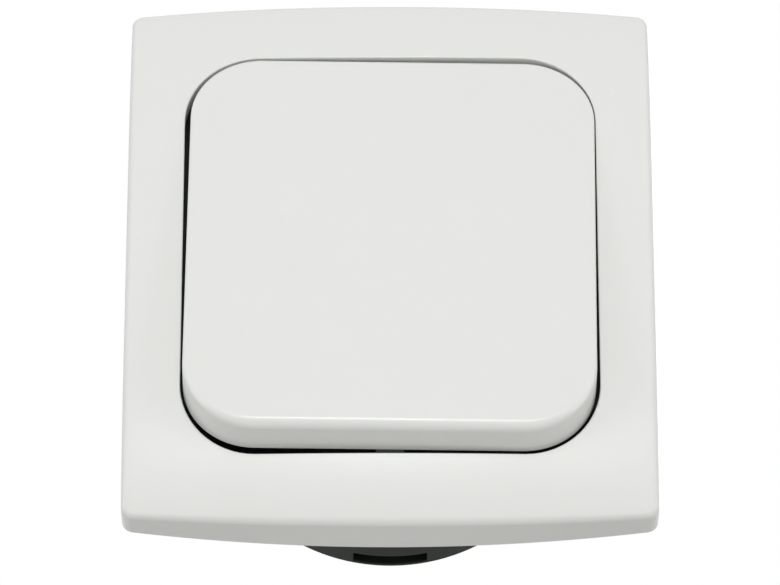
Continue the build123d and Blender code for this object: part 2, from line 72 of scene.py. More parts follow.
def start_material(name):
    """An empty material with its output node."""
    material = bpy.data.materials.new(name)
    material.use_nodes = True
    material.node_tree.nodes.clear()
    return material, add_node(material, "ShaderNodeOutputMaterial")


def dress(piece, material):
    """Gives every face of a piece this material."""
    piece.data.materials.clear()
    piece.data.materials.append(material)


def apply_modifier(piece, kind, **settings):
    """Adds a modifier to a piece with these settings and applies it."""
    bpy.ops.object.select_all(action="DESELECT")
    piece.select_set(True)
    bpy.context.view_layer.objects.active = piece
    modifier = piece.modifiers.new(kind.lower(), kind)
    for name, value in settings.items():
        setattr(modifier, name, value)
    bpy.ops.object.modifier_apply(modifier=modifier.name)


def shade(piece, angle):
    """Shades a piece smoothly, but for edges sharper than this angle in degrees, with its flat faces kept flat."""
    bpy.ops.object.select_all(action="DESELECT")
    piece.select_set(True)
    bpy.context.view_layer.objects.active = piece
    bpy.ops.object.shade_smooth_by_angle(angle=math.radians(angle))
    apply_modifier(piece, "WEIGHTED_NORMAL", keep_sharp=True, weight=100)


def softened_copy(node_name, piece_name, edge_mm):
    """A copy of a CAD node with its triangles joined into whole faces and its sharp edges rounded by this much."""
    piece = nodes[node_name].copy()
    piece.data = nodes[node_name].data.copy()
    piece.name = piece_name
    bpy.context.collection.objects.link(piece)
    bpy.ops.object.select_all(action="DESELECT")
    piece.select_set(True)
    bpy.context.view_layer.objects.active = piece
    bpy.ops.object.mode_set(mode="EDIT")
    bpy.ops.mesh.select_all(action="SELECT")
    bpy.ops.mesh.remove_doubles(threshold=0.002 * MM)
    bpy.ops.mesh.dissolve_limited(angle_limit=math.radians(0.6))
    bpy.ops.object.mode_set(mode="OBJECT")
    apply_modifier(
        piece, "BEVEL", width=edge_mm * MM, segments=2, limit_method="ANGLE", angle_limit=math.radians(40),
        use_clamp_overlap=False,
    )
    shade(piece, 32)
    return piece


def hand_over(piece, material, body, slot, *replaced):
    """Dresses a finished piece, lets it ride on its body and hides the CAD nodes that it replaces."""
    dress(piece, material)
    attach(piece, body)
    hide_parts(*replaced)


phenolic, phenolic_out = start_material("moulded_phenolic")
# wood flour is too fine to show from where the camera stands, so its clumps are drawn
flour_clump_mm = 1.1
phenolic_place = add_node(phenolic, "ShaderNodeTexCoord")
flour = add_node(
    phenolic, "ShaderNodeTexNoise", {"Scale": PER_MM / flour_clump_mm, "Detail": 4.0, "Roughness": 0.6},
    {"Vector": (phenolic_place, "Object")},
)
flour_tone = add_node(
    phenolic, "ShaderNodeMix", {"data_type": "RGBA", 6: linear("#181e16"), 7: linear("#252c22")},
    {"Factor": (flour, "Fac")},
)
flour_bump = add_node(
    phenolic, "ShaderNodeBump", {"Strength": 0.2, "Distance": 0.00004}, {"Height": (flour, "Fac")}
)
flour_gloss = add_node(
    phenolic, "ShaderNodeMapRange", {"To Min": 0.36, "To Max": 0.52}, {"Value": (flour, "Fac")}
)
phenolic_shader = add_node(
    phenolic, "ShaderNodeBsdfPrincipled", {"IOR": 1.5, "Specular IOR Level": 0.07},
    {"Base Color": (flour_tone, 2), "Roughness": (flour_gloss, "Result"), "Normal": (flour_bump, "Normal")},
)
phenolic.node_tree.links.new(phenolic_shader.outputs[0], phenolic_out.inputs["Surface"])

base_pot = softened_copy("mechanism_base", "base_pot", 0.22)
hand_over(base_pot, phenolic, "housing", "dark_moulding", "mechanism_base")
cover_lid = softened_copy("mechanism_cover", "cover_lid", 0.2)
hand_over(cover_lid, phenolic, "housing", "dark_moulding", "mechanism_cover")

# The contact strips and the lever: half-hard brass, blanked and bent, left bare, so a little dulled, with the sheared
# edges of a press tool.
brass, brass_out = start_material("stamped_brass")
# the tarnish comes in soft patches, about as wide as a strip
tarnish_mm = 4.0
brass_place = add_node(brass, "ShaderNodeTexCoord")
tarnish = add_node(
    brass, "ShaderNodeTexNoise", {"Scale": PER_MM / tarnish_mm, "Detail": 5.0}, {"Vector": (brass_place, "Object")}
)
brass_tone = add_node(
    brass, "ShaderNodeMix", {"data_type": "RGBA", 6: linear("#c9a45a"), 7: linear("#a9843f")},
    {"Factor": (tarnish, "Fac")},
)
brass_gloss = add_node(
    brass, "ShaderNodeMapRange", {"To Min": 0.25, "To Max": 0.45}, {"Value": (tarnish, "Fac")}
)
brass_shader = add_node(
    brass, "ShaderNodeBsdfPrincipled", {"Metallic": 1.0},
    {"Base Color": (brass_tone, 2), "Roughness": (brass_gloss, "Result")},
)
brass.node_tree.links.new(brass_shader.outputs[0], brass_out.inputs["Surface"])
for node_name, piece_name, body in (
    ("contact_lever", "rocking_contact", "lever"),
    ("line_strip", "line_contact_strip", "housing"),
    ("load_strip", "load_contact_strip", "housing"),
):
    hand_over(softened_copy(node_name, piece_name, 0.12), brass, body, "brass", node_name)

# The contact rivets: fine silver heads, coined smooth, one on the lever and one on the line strip.
silver, silver_out = start_material("contact_silver")
coin_mm = 0.5
silver_place = add_node(silver, "ShaderNodeTexCoord")
coined = add_node(
    silver, "ShaderNodeTexNoise", {"Scale": PER_MM / coin_mm, "Detail": 2.0}, {"Vector": (silver_place, "Object")}
)
silver_gloss = add_node(
    silver, "ShaderNodeMapRange", {"To Min": 0.18, "To Max": 0.34}, {"Value": (coined, "Fac")}
)
silver_shader = add_node(
    silver, "ShaderNodeBsdfPrincipled", {"Base Color": linear("#e4e3df"), "Metallic": 1.0},
    {"Roughness": (silver_gloss, "Result")},
)
silver.node_tree.links.new(silver_shader.outputs[0], silver_out.inputs["Surface"])
hand_over(softened_copy("lever_tip", "lever_rivet", 0.25), silver, "lever", "silver", "lever_tip")
hand_over(softened_copy("line_tip", "line_rivet", 0.25), silver, "housing", "silver", "line_tip")

# The terminals' clamp plates and the claws: pressed mild steel, zinc plated and passivated. The plating is fairly
# bright, and the rolled sheet below it leaves a fine streak along one way.
zinc, zinc_out = start_material("zinc_plated_steel")
# the rolling streaks are finer than this on the real sheet, but would not show
streak_mm = 0.35
zinc_place = add_node(zinc, "ShaderNodeTexCoord")
zinc_stretch = add_node(
    zinc, "ShaderNodeMapping", {"Scale": (1.0, 0.06, 1.0)}, {"Vector": (zinc_place, "Object")}
)
zinc_streak = add_node(
    zinc, "ShaderNodeTexNoise", {"Scale": PER_MM / streak_mm, "Detail": 3.0}, {"Vector": (zinc_stretch, "Vector")}
)
zinc_tone = add_node(
    zinc, "ShaderNodeMix", {"data_type": "RGBA", 6: linear("#bdbeba"), 7: linear("#d0d1cc")},
    {"Factor": (zinc_streak, "Fac")},
)
zinc_gloss = add_node(
    zinc, "ShaderNodeMapRange", {"To Min": 0.28, "To Max": 0.46}, {"Value": (zinc_streak, "Fac")}
)
zinc_bump = add_node(
    zinc, "ShaderNodeBump", {"Strength": 0.2, "Distance": 0.00003}, {"Height": (zinc_streak, "Fac")}
)
zinc_shader = add_node(
    zinc, "ShaderNodeBsdfPrincipled", {"Metallic": 1.0},
    {"Base Color": (zinc_tone, 2), "Roughness": (zinc_gloss, "Result"), "Normal": (zinc_bump, "Normal")},
)
zinc.node_tree.links.new(zinc_shader.outputs[0], zinc_out.inputs["Surface"])
for node_name, piece_name, body in (
    ("line_clamp", "line_clamp_plate", "housing"),
    ("load_clamp", "load_clamp_plate", "housing"),
    ("claw_left", "left_spreading_claw", "left_claw"),
    ("claw_right", "right_spreading_claw", "right_claw"),
):
    hand_over(softened_copy(node_name, piece_name, 0.12), zinc, body, "zinc_steel", node_name)

# The screws: cold-headed steel with rolled threads, zinc plated, with slotted cheese heads. There are two terminal
# screws, two that hold bracket, lid and base together, and two long ones that pull the claws.
slot_width, slot_depth, head_round = 0.8, 0.9, 0.35


def pick(piece, kind, test):
    """In edit mode, selects only those edges or faces of a piece that pass the test."""
    bpy.ops.mesh.select_mode(type=kind)
    mesh = bmesh.from_edit_mesh(piece.data)
    for item in mesh.edges if kind == "EDGE" else mesh.faces:
        item.select_set(test(item))
    mesh.select_flush_mode()
    bmesh.update_edit_mesh(piece.data)


def middle(edge):
    """The middle of an edge."""
    return (edge.verts[0].co + edge.verts[1].co) / 2


def slotted_screw(name, head_radius, head_height, thread_radius, thread_length, pitch):
    """A screw whose head stands on the plane z = 0 and whose thread hangs below it, all in mm."""
    bpy.ops.object.select_all(action="DESELECT")
    bpy.ops.mesh.primitive_cylinder_add(
        vertices=32, radius=head_radius * MM, depth=head_height * MM, location=(0, 0, head_height / 2 * MM)
    )
    screw = bpy.context.object
    screw.name = name
    bpy.ops.object.transform_apply(location=True, rotation=True, scale=True)
    bpy.ops.object.mode_set(mode="EDIT")
    # the head's upper edge is rounded, its slot is cut later
    pick(screw, "EDGE", lambda edge: min(v.co.z for v in edge.verts) > 0.9 * head_height * MM)
    bpy.ops.mesh.bevel(offset=head_round * MM, segments=4)
    # the shank grows from the head's underside, and its long edges are divided for the thread
    pick(screw, "FACE", lambda face: face.normal.z < -0.9)
    bpy.ops.mesh.inset(thickness=(head_radius - thread_radius) * MM)
    bpy.ops.mesh.extrude_region_move(TRANSFORM_OT_translate={"value": (0, 0, -thread_length * MM)})
    pick(
        screw, "EDGE",
        lambda edge: abs(edge.verts[0].co.z - edge.verts[1].co.z) > 0.9 * thread_length * MM,
    )
    rings_per_turn = 5
    bpy.ops.mesh.subdivide(number_cuts=int(rings_per_turn * thread_length / pitch) - 1)
    bpy.ops.object.mode_set(mode="OBJECT")
    # the thread: each point of the shank moves in or out by where it stands on the helix. The groove fades in below the
    # head and out at the end, where the shank narrows to a point that finds the hole.
    groove_depth, taper_depth, neck, run_out = 0.6 * pitch, 0.5 * pitch, 0.3, 1.2 * pitch
    for point in screw.data.vertices:
        depth = -point.co.z / MM
        if depth > 0.01:
            turn = math.atan2(point.co.y, point.co.x) / math.tau
            phase = (depth / pitch + turn) % 1.0
            flank = 1 - abs(2 * phase - 1)
            fade = max(0.0, min(1.0, (depth - neck) / pitch, (thread_length - depth) / run_out))
            taper = max(0.0, 1 - (thread_length - depth) / run_out)
            radius = thread_radius - groove_depth * (1 - flank) * fade - taper_depth * taper
            point.co.x *= radius / thread_radius
            point.co.y *= radius / thread_radius
    bpy.ops.object.select_all(action="DESELECT")
    bpy.ops.mesh.primitive_cube_add(size=1)
    cutter = bpy.context.object
    for corner in cutter.data.vertices:
        corner.co = Vector((
            corner.co.x * 4 * head_radius * MM,
            corner.co.y * slot_width * MM,
            (head_height + corner.co.z * 2 * slot_depth) * MM,
        ))
    apply_modifier(screw, "BOOLEAN", operation="DIFFERENCE", object=cutter, solver="EXACT")
    bpy.data.objects.remove(cutter)
    shade(screw, 40)
    return screw


def set_screw(pattern, name, place):
    """A copy of a finished screw with its own mesh, with its place in that mesh."""
    screw = pattern.copy()
    screw.data = pattern.data.copy()
    screw.data.transform(place)
    screw.name = name
    bpy.context.collection.objects.link(screw)
    return screw


def join(piece, others):
    """Joins other pieces to this one."""
    bpy.ops.object.select_all(action="DESELECT")
    for other in others:
        other.select_set(True)
    piece.select_set(True)
    bpy.context.view_layer.objects.active = piece
    bpy.ops.object.join()


# what is drawn with its front up is turned by this to face out of the wall
outward = Matrix.Rotation(math.pi / 2, 4, "X")
terminal_screw = slotted_screw(
    "terminal_screw", head_radius=3.0, head_height=2.0, thread_radius=1.6, thread_length=8.0, pitch=0.7
)
terminal_top, terminal_depth = 24.4, 33.0
for node_name, piece_name, turn in (("line_screw", "line_terminal_screw", 0), ("load_screw", "load_terminal_screw", 1)):
    seat = Matrix.Rotation(math.pi * turn, 4, "Y") @ Matrix.Translation((0, terminal_depth * MM, terminal_top * MM))
    hand_over(set_screw(terminal_screw, piece_name, seat), zinc, "housing", "zinc_steel", node_name)

bracket_screw = slotted_screw(
    "bracket_screw", head_radius=2.8, head_height=1.8, thread_radius=1.5, thread_length=12.0, pitch=0.5
)
bracket_screw_place = Vector((14.0, -1.0, 17.0)) * MM
lower_screw_place = Vector((-14.0, -1.0, -17.0)) * MM
cover_screws = set_screw(bracket_screw, "cover_screws", Matrix.Translation(bracket_screw_place) @ outward)
lower_screw = set_screw(bracket_screw, "lower_screw", Matrix.Translation(lower_screw_place) @ outward)
join(cover_screws, [lower_screw])
hand_over(cover_screws, zinc, "housing", "zinc_steel", "bracket_screws")

claw_screw = slotted_screw(
    "claw_screw", head_radius=2.8, head_height=1.8, thread_radius=1.5, thread_length=30.0, pitch=0.7
)
claw_screw_x, claw_head_seat = 22.5, 1.65
for node_name, piece_name, body, side in (
    ("claw_screw_left", "left_claw_screw", "left_claw", -1), ("claw_screw_right", "right_claw_screw", "right_claw", 1),
):
    seat = Matrix.Translation((side * claw_screw_x * MM, -claw_head_seat * MM, 0)) @ outward
    hand_over(set_screw(claw_screw, piece_name, seat), zinc, body, "zinc_steel", node_name)
for pattern in (terminal_screw, bracket_screw, claw_screw):
    bpy.data.objects.remove(pattern)

# The support bracket: one blank of mild steel with fixing slots, a window and four tabs bent up. Its steel is coloured
# nearly black, matt with a soft metallic sheen, as painted shade that keeps the gaps round the rocker dark.
black_steel, black_out = start_material("near_black_steel_painted_shade")
cloud_mm = 5.0
black_place = add_node(black_steel, "ShaderNodeTexCoord")
cloud = add_node(
    black_steel, "ShaderNodeTexNoise", {"Scale": PER_MM / cloud_mm, "Detail": 4.0},
    {"Vector": (black_place, "Object")},
)
# the near-black tone is painted shade for the gaps round the rocker; the cloud only varies it at random
bracket_shade_tone = add_node(
    black_steel, "ShaderNodeMix", {"data_type": "RGBA", 6: linear("#2c2d2b"), 7: linear("#3a3b38")},
    {"Factor": (cloud, "Fac")},
)
black_gloss = add_node(
    black_steel, "ShaderNodeMapRange", {"To Min": 0.42, "To Max": 0.58}, {"Value": (cloud, "Fac")}
)
black_shader = add_node(
    black_steel, "ShaderNodeBsdfPrincipled", {"Metallic": 0.8},
    {"Base Color": (bracket_shade_tone, 2), "Roughness": (black_gloss, "Result")},
)
black_steel.node_tree.links.new(black_shader.outputs[0], black_out.inputs["Surface"])
bracket_plate = softened_copy("support_bracket", "bracket_plate", 0.12)
hand_over(bracket_plate, black_steel, "housing", "black_steel", "support_bracket")

# The carrier and its plunger: injection-moulded nylon, undyed, so a milky off-white with a soft sheen.
nylon, nylon_out = start_material("natural_nylon")
milk_mm = 6.0
nylon_place = add_node(nylon, "ShaderNodeTexCoord")
milk = add_node(
    nylon, "ShaderNodeTexNoise", {"Scale": PER_MM / milk_mm, "Detail": 3.0}, {"Vector": (nylon_place, "Object")}
)
nylon_tone = add_node(
    nylon, "ShaderNodeMix", {"data_type": "RGBA", 6: linear("#dcd8c9"), 7: linear("#e8e5d9")},
    {"Factor": (milk, "Fac")},
)
nylon_gloss = add_node(nylon, "ShaderNodeMapRange", {"To Min": 0.38, "To Max": 0.5}, {"Value": (milk, "Fac")})
nylon_shader = add_node(
    nylon, "ShaderNodeBsdfPrincipled", {"IOR": 1.53},
    {"Base Color": (nylon_tone, 2), "Roughness": (nylon_gloss, "Result")},
)
nylon.node_tree.links.new(nylon_shader.outputs[0], nylon_out.inputs["Surface"])
carrier_plate = softened_copy("rocker_carrier", "carrier_plate", 0.15)
hand_over(carrier_plate, nylon, "rocker_unit", "light_moulding", "rocker_carrier")
plunger_pin = softened_copy("plunger", "plunger_nose_pin", 0.3)
hand_over(plunger_pin, nylon, "plunger_pin", "light_moulding", "plunger")

# The plunger's spring: hard-drawn steel wire, coiled cold and left bright, in the carrier's tube. In the switch the
# plunger pushes it together towards the carrier's plate; here the coil keeps one length.
pivot_out, lean = 4.3, math.radians(85)
pivot = Matrix.Translation((0, -pivot_out * MM, 0)) @ Matrix.Rotation(lean, 4, "X")
coil_radius, wire_radius, coil_turns = 1.55, 0.21, 3
coil_start, coil_length, plunger_travel = -1.72, 2.0, 0.8
bpy.ops.object.select_all(action="DESELECT")
bpy.ops.mesh.primitive_circle_add(
    vertices=10, radius=wire_radius * MM, location=(coil_radius * MM, 0, coil_start * MM), rotation=(math.pi / 2, 0, 0)
)
spring_coil = bpy.context.object
spring_coil.name = "spring_coil"
bpy.ops.object.transform_apply(location=True, rotation=True, scale=True)
apply_modifier(
    spring_coil, "SCREW", angle=math.tau, screw_offset=coil_length / coil_turns * MM, iterations=coil_turns,
    steps=28, render_steps=28,
)
bpy.ops.object.mode_set(mode="EDIT")
bpy.ops.mesh.select_all(action="SELECT")
bpy.ops.mesh.remove_doubles(threshold=0.001 * MM)
bpy.ops.mesh.select_all(action="SELECT")
bpy.ops.mesh.fill_holes(sides=0)
bpy.ops.mesh.select_all(action="SELECT")
bpy.ops.mesh.normals_make_consistent(inside=False)
bpy.ops.object.mode_set(mode="OBJECT")
spring_coil.data.transform(pivot)
shade(spring_coil, 60)
hand_over(spring_coil, zinc, "rocker_unit", "zinc_steel", "plunger_spring")
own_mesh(spring_coil)

# The rocker and the cover frame: urea, a thermoset pressed in polished tools, in a neutral white. It is glossy, with
# the faint unevenness that a thick moulding takes on as it cools.
urea, urea_out = start_material("white_urea")
flow_mm, peel_mm = 9.0, 1.4
urea_place = add_node(urea, "ShaderNodeTexCoord")
flow = add_node(
    urea, "ShaderNodeTexNoise", {"Scale": PER_MM / flow_mm, "Detail": 8.0, "Roughness": 0.75},
    {"Vector": (urea_place, "Object")},
)
peel = add_node(
    urea, "ShaderNodeTexNoise", {"Scale": PER_MM / peel_mm, "Detail": 1.0}, {"Vector": (urea_place, "Object")}
)
urea_tone = add_node(
    urea, "ShaderNodeMix", {"data_type": "RGBA", 6: linear("#e7e8e4"), 7: linear("#e9eae7")},
    {"Factor": (flow, "Fac")},
)
urea_gloss = add_node(urea, "ShaderNodeMapRange", {"To Min": 0.22, "To Max": 0.30}, {"Value": (flow, "Fac")})
urea_bump = add_node(urea, "ShaderNodeBump", {"Strength": 0.1, "Distance": 0.000004}, {"Height": (peel, "Fac")})
urea_shader = add_node(
    urea, "ShaderNodeBsdfPrincipled", {"IOR": 1.55},
    {"Base Color": (urea_tone, 2), "Roughness": (urea_gloss, "Result"), "Normal": (urea_bump, "Normal")},
)
urea.node_tree.links.new(urea_shader.outputs[0], urea_out.inputs["Surface"])


def moulded_bar(x0, x1, y0, y1, z0, z1, edge):
    """A rib, hook or leg of a moulding between these planes, in mm, with its edges rounded."""
    bpy.ops.object.select_all(action="DESELECT")
    bpy.ops.mesh.primitive_cube_add(size=1)
    bar = bpy.context.object
    for corner in bar.data.vertices:
        corner.co = Vector((
            (x0 if corner.co.x < 0 else x1) * MM,
            (y0 if corner.co.y < 0 else y1) * MM,
            (z0 if corner.co.z < 0 else z1) * MM,
        ))
    apply_modifier(bar, "BEVEL", width=edge * MM, segments=2, limit_method="NONE")
    return bar


# The cap is drawn flat, with its face up, and then laid on its tilted place.
cap_width, cap_height, cap_radius = 61.8, 66.2, 11.0
skirt_width, skirt_height, skirt_wall = 61.907, 66.839, 2.1
face_level, under_level, skirt_level = 6.2, 4.2, 0.0
side_edge, top_edge, end_edge, skirt_edge = 0.3, 1.05, 1.55, 0.04
cap_shift, cap_twist, cap_cant = 0.1, math.radians(0.5), math.radians(0.55)
bpy.ops.object.select_all(action="DESELECT")
bpy.ops.mesh.primitive_plane_add(size=1)
rocker_cap = bpy.context.object
rocker_cap.name = "rocker_cap"
bpy.ops.object.mode_set(mode="EDIT")
bpy.ops.transform.resize(value=(skirt_width * MM, skirt_height * MM, 1))
bpy.ops.transform.translate(value=(0, 0, skirt_level * MM))
bpy.ops.mesh.bevel(offset=cap_radius * MM, segments=24, affect="VERTICES")
bpy.ops.mesh.select_all(action="SELECT")
bpy.ops.mesh.extrude_region_move(TRANSFORM_OT_translate={"value": (0, 0, (face_level - skirt_level) * MM)})
bpy.ops.transform.resize(
    value=(cap_width / skirt_width, cap_height / skirt_height, 1), center_override=(0, 0, face_level * MM)
)
bpy.ops.mesh.select_all(action="SELECT")
bpy.ops.mesh.normals_make_consistent(inside=False)
pick(rocker_cap, "FACE", lambda face: face.normal.z < -0.9)
bpy.ops.mesh.inset(thickness=skirt_wall * MM)
bpy.ops.mesh.extrude_region_move(TRANSFORM_OT_translate={"value": (0, 0, (under_level - skirt_level) * MM)})
bpy.ops.object.mode_set(mode="OBJECT")
# the rounding of the face's edge grows from the sides to the ends, most at the lower one; the skirt's edge is sharp
edge_weight = rocker_cap.data.attributes.new("bevel_weight_edge", "FLOAT", "EDGE")
for edge in rocker_cap.data.edges:
    ends = [rocker_cap.data.vertices[i].co / MM for i in edge.vertices]
    along = (ends[1] - ends[0]).normalized()
    if all(end.z > face_level - 0.01 for end in ends):
        widest = end_edge if ends[0].y + ends[1].y < 0 else top_edge
        edge_weight.data[edge.index].value = (side_edge + (widest - side_edge) * abs(along.x) ** 1.5) / end_edge
    elif all(end.z < skirt_level + 0.01 for end in ends):
        edge_weight.data[edge.index].value = skirt_edge / end_edge
apply_modifier(
    rocker_cap, "BEVEL", width=end_edge * MM, segments=6, limit_method="WEIGHT", use_clamp_overlap=False
)
# under the face: four ribs, and two hooks with beads that clip round the carrier
rib_place, rib_half, rib_rear, rib_front = 20, 0.6, 2.0, 4.3
rib_reach_x, rib_reach_y = 29.9, 32.1
hook_half, hook_near, hook_far, hook_rear = 4, 9.2, 10.5, 0.95
bead_near, bead_far, bead_rear, bead_front = 8.5, 9.5, 1.6, 2.3
under_parts = []
for place in (-rib_place, rib_place):
    under_parts.append(
        moulded_bar(place - rib_half, place + rib_half, -rib_reach_y, rib_reach_y, rib_rear, rib_front, 0.15)
    )
for place in (-rib_place, rib_place):
    under_parts.append(
        moulded_bar(-rib_reach_x, rib_reach_x, place - rib_half, place + rib_half, rib_rear, rib_front, 0.15)
    )
for side in (-1, 1):
    near, far = sorted((side * hook_near, side * hook_far))
    under_parts.append(moulded_bar(-hook_half, hook_half, near, far, hook_rear, rib_front, 0.15))
    near, far = sorted((side * bead_near, side * bead_far))
    under_parts.append(moulded_bar(-hook_half, hook_half, near, far, bead_rear, bead_front, 0.2))
join(rocker_cap, under_parts)
rocker_cap.data.transform(
    Matrix.Translation((cap_shift * MM, -pivot_out * MM, 0)) @ Matrix.Rotation(lean, 4, "X")
    @ Matrix.Rotation(cap_twist, 4, "Y") @ Matrix.Rotation(-cap_cant, 4, "Z")
)
shade(rocker_cap, 30)
hand_over(rocker_cap, urea, "rocker_unit", "white_gloss", "rocker")

# The cover frame: a shallow dome with bowed upper and lower edges, open at the back, with a collar round the rocker's
# opening and four snap legs. It is the same white urea. It is drawn flat, with its front up, and then stood upright.
outline_width, outline_height, outline_radius = 80.0, 86.0, 1.6
half_width, front_plane = outline_width / 2, 10.0
corner_rear, corner_front, bow_rear, bow_front = 43.28, 42.77, 2.64, 0.55
opening_width, opening_height, opening_radius, opening_drop = 62.6, 67.6, 11.3, 0.1
opening_draft, collar_rear = math.radians(3), 4.2
crown, crown_level, shoulder_drop, shoulder_height = 611.0, 9.03, 2.65, 41
crease_round, lip_round, frame_wall = 0.9, 0.26, 2.0


def dome_level(x, y):
    """How far the domed front stands out at this place, in mm."""
    radius = crown - shoulder_drop * (abs(y) / shoulder_height) ** 4
    return math.sqrt(radius ** 2 - x ** 2) - (crown - crown_level)


def outline_corner(level):
    """Half the outline's height at its corners, and the bow of its upper and lower edges, at this level."""
    share = level / front_plane
    return corner_rear + (corner_front - corner_rear) * share, bow_rear + (bow_front - bow_rear) * share


def bow_share(x):
    """The share of the bow at this distance from the middle, which is none on the sides."""
    return (1 - (x / half_width) ** 2) * (abs(x) < half_width - 0.01)


def outline_point(point, level):
    """A point of the flat outline, moved to where the outer wall stands at this level."""
    corner, bow = outline_corner(level)
    x, y = point.x / MM, point.y / MM
    y = y * 2 * corner / outline_height + math.copysign(bow * bow_share(x), y)
    return Vector((x, y, level)) * MM


def opening_point(point, level):
    """A point of the flat opening, moved to where the drafted opening stands at this level."""
    x, y = point.x / MM, point.y / MM + opening_drop
    centre = Vector((
        max(-opening_width / 2 + opening_radius, min(opening_width / 2 - opening_radius, x)),
        max(-opening_height / 2 + opening_radius, min(opening_height / 2 - opening_radius, y)),
    ))
    reach = (Vector((x, y)) - centre).normalized()
    place = centre + reach * (opening_radius + (front_plane - level) * math.tan(opening_draft))
    return Vector((place.x, place.y - opening_drop, level)) * MM


def outline_ring(width, height, radius):
    """A flat ring of edges: a plane with its corners rounded, its sides divided and its face taken out."""
    bpy.ops.object.select_all(action="DESELECT")
    bpy.ops.mesh.primitive_plane_add(size=1)
    ring = bpy.context.object
    bpy.ops.object.mode_set(mode="EDIT")
    bpy.ops.transform.resize(value=(width * MM, height * MM, 1))
    bpy.ops.mesh.bevel(offset=radius * MM, segments=16, affect="VERTICES")
    bpy.ops.mesh.delete(type="ONLY_FACE")
    pick(ring, "EDGE", lambda edge: edge.calc_length() > 20 * MM)
    bpy.ops.mesh.subdivide(number_cuts=27)
    bpy.ops.object.mode_set(mode="OBJECT")
    return ring


def is_outer(point):
    """Tells the frame's outline from its opening."""
    return abs(point.x) > 35 * MM or abs(point.y) > 38 * MM


# a point's place depends on its level and the dome's level on the place, so both settle in a few rounds
settling_rounds = 4
outline = outline_ring(outline_width, outline_height, outline_radius)
for point in outline.data.vertices:
    level = 6.0
    for _ in range(settling_rounds):
        place = outline_point(point.co, level)
        level = dome_level(place.x / MM, place.y / MM)
    point.co = outline_point(point.co, level)
opening = outline_ring(opening_width, opening_height, opening_radius)
for point in opening.data.vertices:
    level = 7.5
    for _ in range(settling_rounds):
        place = opening_point(point.co, level)
        level = dome_level(place.x / MM, place.y / MM)
    point.co = opening_point(point.co, level)
frame_moulding = outline
frame_moulding.name = "frame_moulding"
join(frame_moulding, [opening])
bpy.ops.object.mode_set(mode="EDIT")
bpy.ops.mesh.select_all(action="SELECT")
bpy.ops.mesh.bridge_edge_loops(number_cuts=5, interpolation="LINEAR")
mesh = bmesh.from_edit_mesh(frame_moulding.data)
for point in mesh.verts:
    point.co.z = dome_level(point.co.x / MM, point.co.y / MM) * MM
bmesh.update_edit_mesh(frame_moulding.data)
# the outer wall, straight back from the crease to the wall
pick(frame_moulding, "EDGE", lambda edge: edge.is_boundary and is_outer(middle(edge)))
bpy.ops.mesh.extrude_region_move(TRANSFORM_OT_translate={"value": (0, 0, 0)})
mesh = bmesh.from_edit_mesh(frame_moulding.data)
for point in mesh.verts:
    if point.select:
        corner, bow = outline_corner(point.co.z / MM)
        x, y = point.co.x / MM, point.co.y / MM
        rise = bow_share(x)
        y = (y - math.copysign(bow * rise, y)) * corner_rear / corner + math.copysign(bow_rear * rise, y)
        point.co = Vector((x, y, 0)) * MM
bmesh.update_edit_mesh(frame_moulding.data)
# the collar, back from the lip round the opening
pick(frame_moulding, "EDGE", lambda edge: edge.is_boundary and not is_outer(middle(edge)))
bpy.ops.mesh.extrude_region_move(TRANSFORM_OT_translate={"value": (0, 0, 0)})
mesh = bmesh.from_edit_mesh(frame_moulding.data)
for point in mesh.verts:
    if point.select:
        point.co = opening_point(point.co, collar_rear)
bmesh.update_edit_mesh(frame_moulding.data)
bpy.ops.mesh.select_all(action="SELECT")
bpy.ops.mesh.normals_make_consistent(inside=False)
bpy.ops.object.mode_set(mode="OBJECT")
apply_modifier(
    frame_moulding, "SOLIDIFY", thickness=frame_wall * MM, offset=-1, use_even_offset=True, use_rim=True
)
bpy.ops.object.mode_set(mode="EDIT")
pick(
    frame_moulding, "EDGE",
    lambda edge: edge.calc_face_angle(0) > math.radians(50) and middle(edge).z > 3 * MM
    and (abs(middle(edge).x) > 39.5 * MM or abs(middle(edge).y) > 42.2 * MM),
)
bpy.ops.mesh.bevel(offset=crease_round * MM, segments=6)
pick(
    frame_moulding, "EDGE",
    lambda edge: edge.calc_face_angle(0) > math.radians(50) and not is_outer(middle(edge)) and middle(edge).z > 7 * MM
    and (opening_point(middle(edge), middle(edge).z / MM) - middle(edge)).length < 0.4 * MM,
)
bpy.ops.mesh.bevel(offset=lip_round * MM, segments=4)
bpy.ops.object.mode_set(mode="OBJECT")
# inside: four legs with beads that snap on to the bracket's tabs
leg_place, leg_half, leg_near, leg_far, leg_rear, leg_front = 18, 2.5, 35.2, 36.5, 1.2, 6.4
snap_half, snap_near, snap_far, snap_rear, snap_front = 2, 34.6, 35.4, 2.2, 3.8
legs = []
for side in (-1, 1):
    for place in (-leg_place, leg_place):
        near, far = sorted((side * leg_near, side * leg_far))
        legs.append(moulded_bar(near, far, place - leg_half, place + leg_half, leg_rear, leg_front, 0.15))
        near, far = sorted((side * snap_near, side * snap_far))
        legs.append(moulded_bar(near, far, place - snap_half, place + snap_half, snap_rear, snap_front, 0.2))
join(frame_moulding, legs)
frame_moulding.data.transform(outward)
shade(frame_moulding, 30)
hand_over(frame_moulding, urea, "housing", "white_gloss", "cover_frame")

# The floor: a plain pale studio floor, far enough below that the switch can be seen from underneath. The light that is
# set for the switch leaves it dim, so camera and mirrored rays see it lighter than it is. It keeps its shadows.


def background_ray(material):
    """The node output that is 1 for the rays that show the background: those of the camera, of mirrors and of glass."""
    ray = add_node(material, "ShaderNodeLightPath")
    direct = add_node(
        material, "ShaderNodeMath", {"operation": "MAXIMUM"}, {0: (ray, "Is Camera Ray"), 1: (ray, "Is Glossy Ray")}
    )
    return add_node(
        material, "ShaderNodeMath", {"operation": "MAXIMUM"}, {0: (direct, 0), 1: (ray, "Is Transmission Ray")}
    ), 0


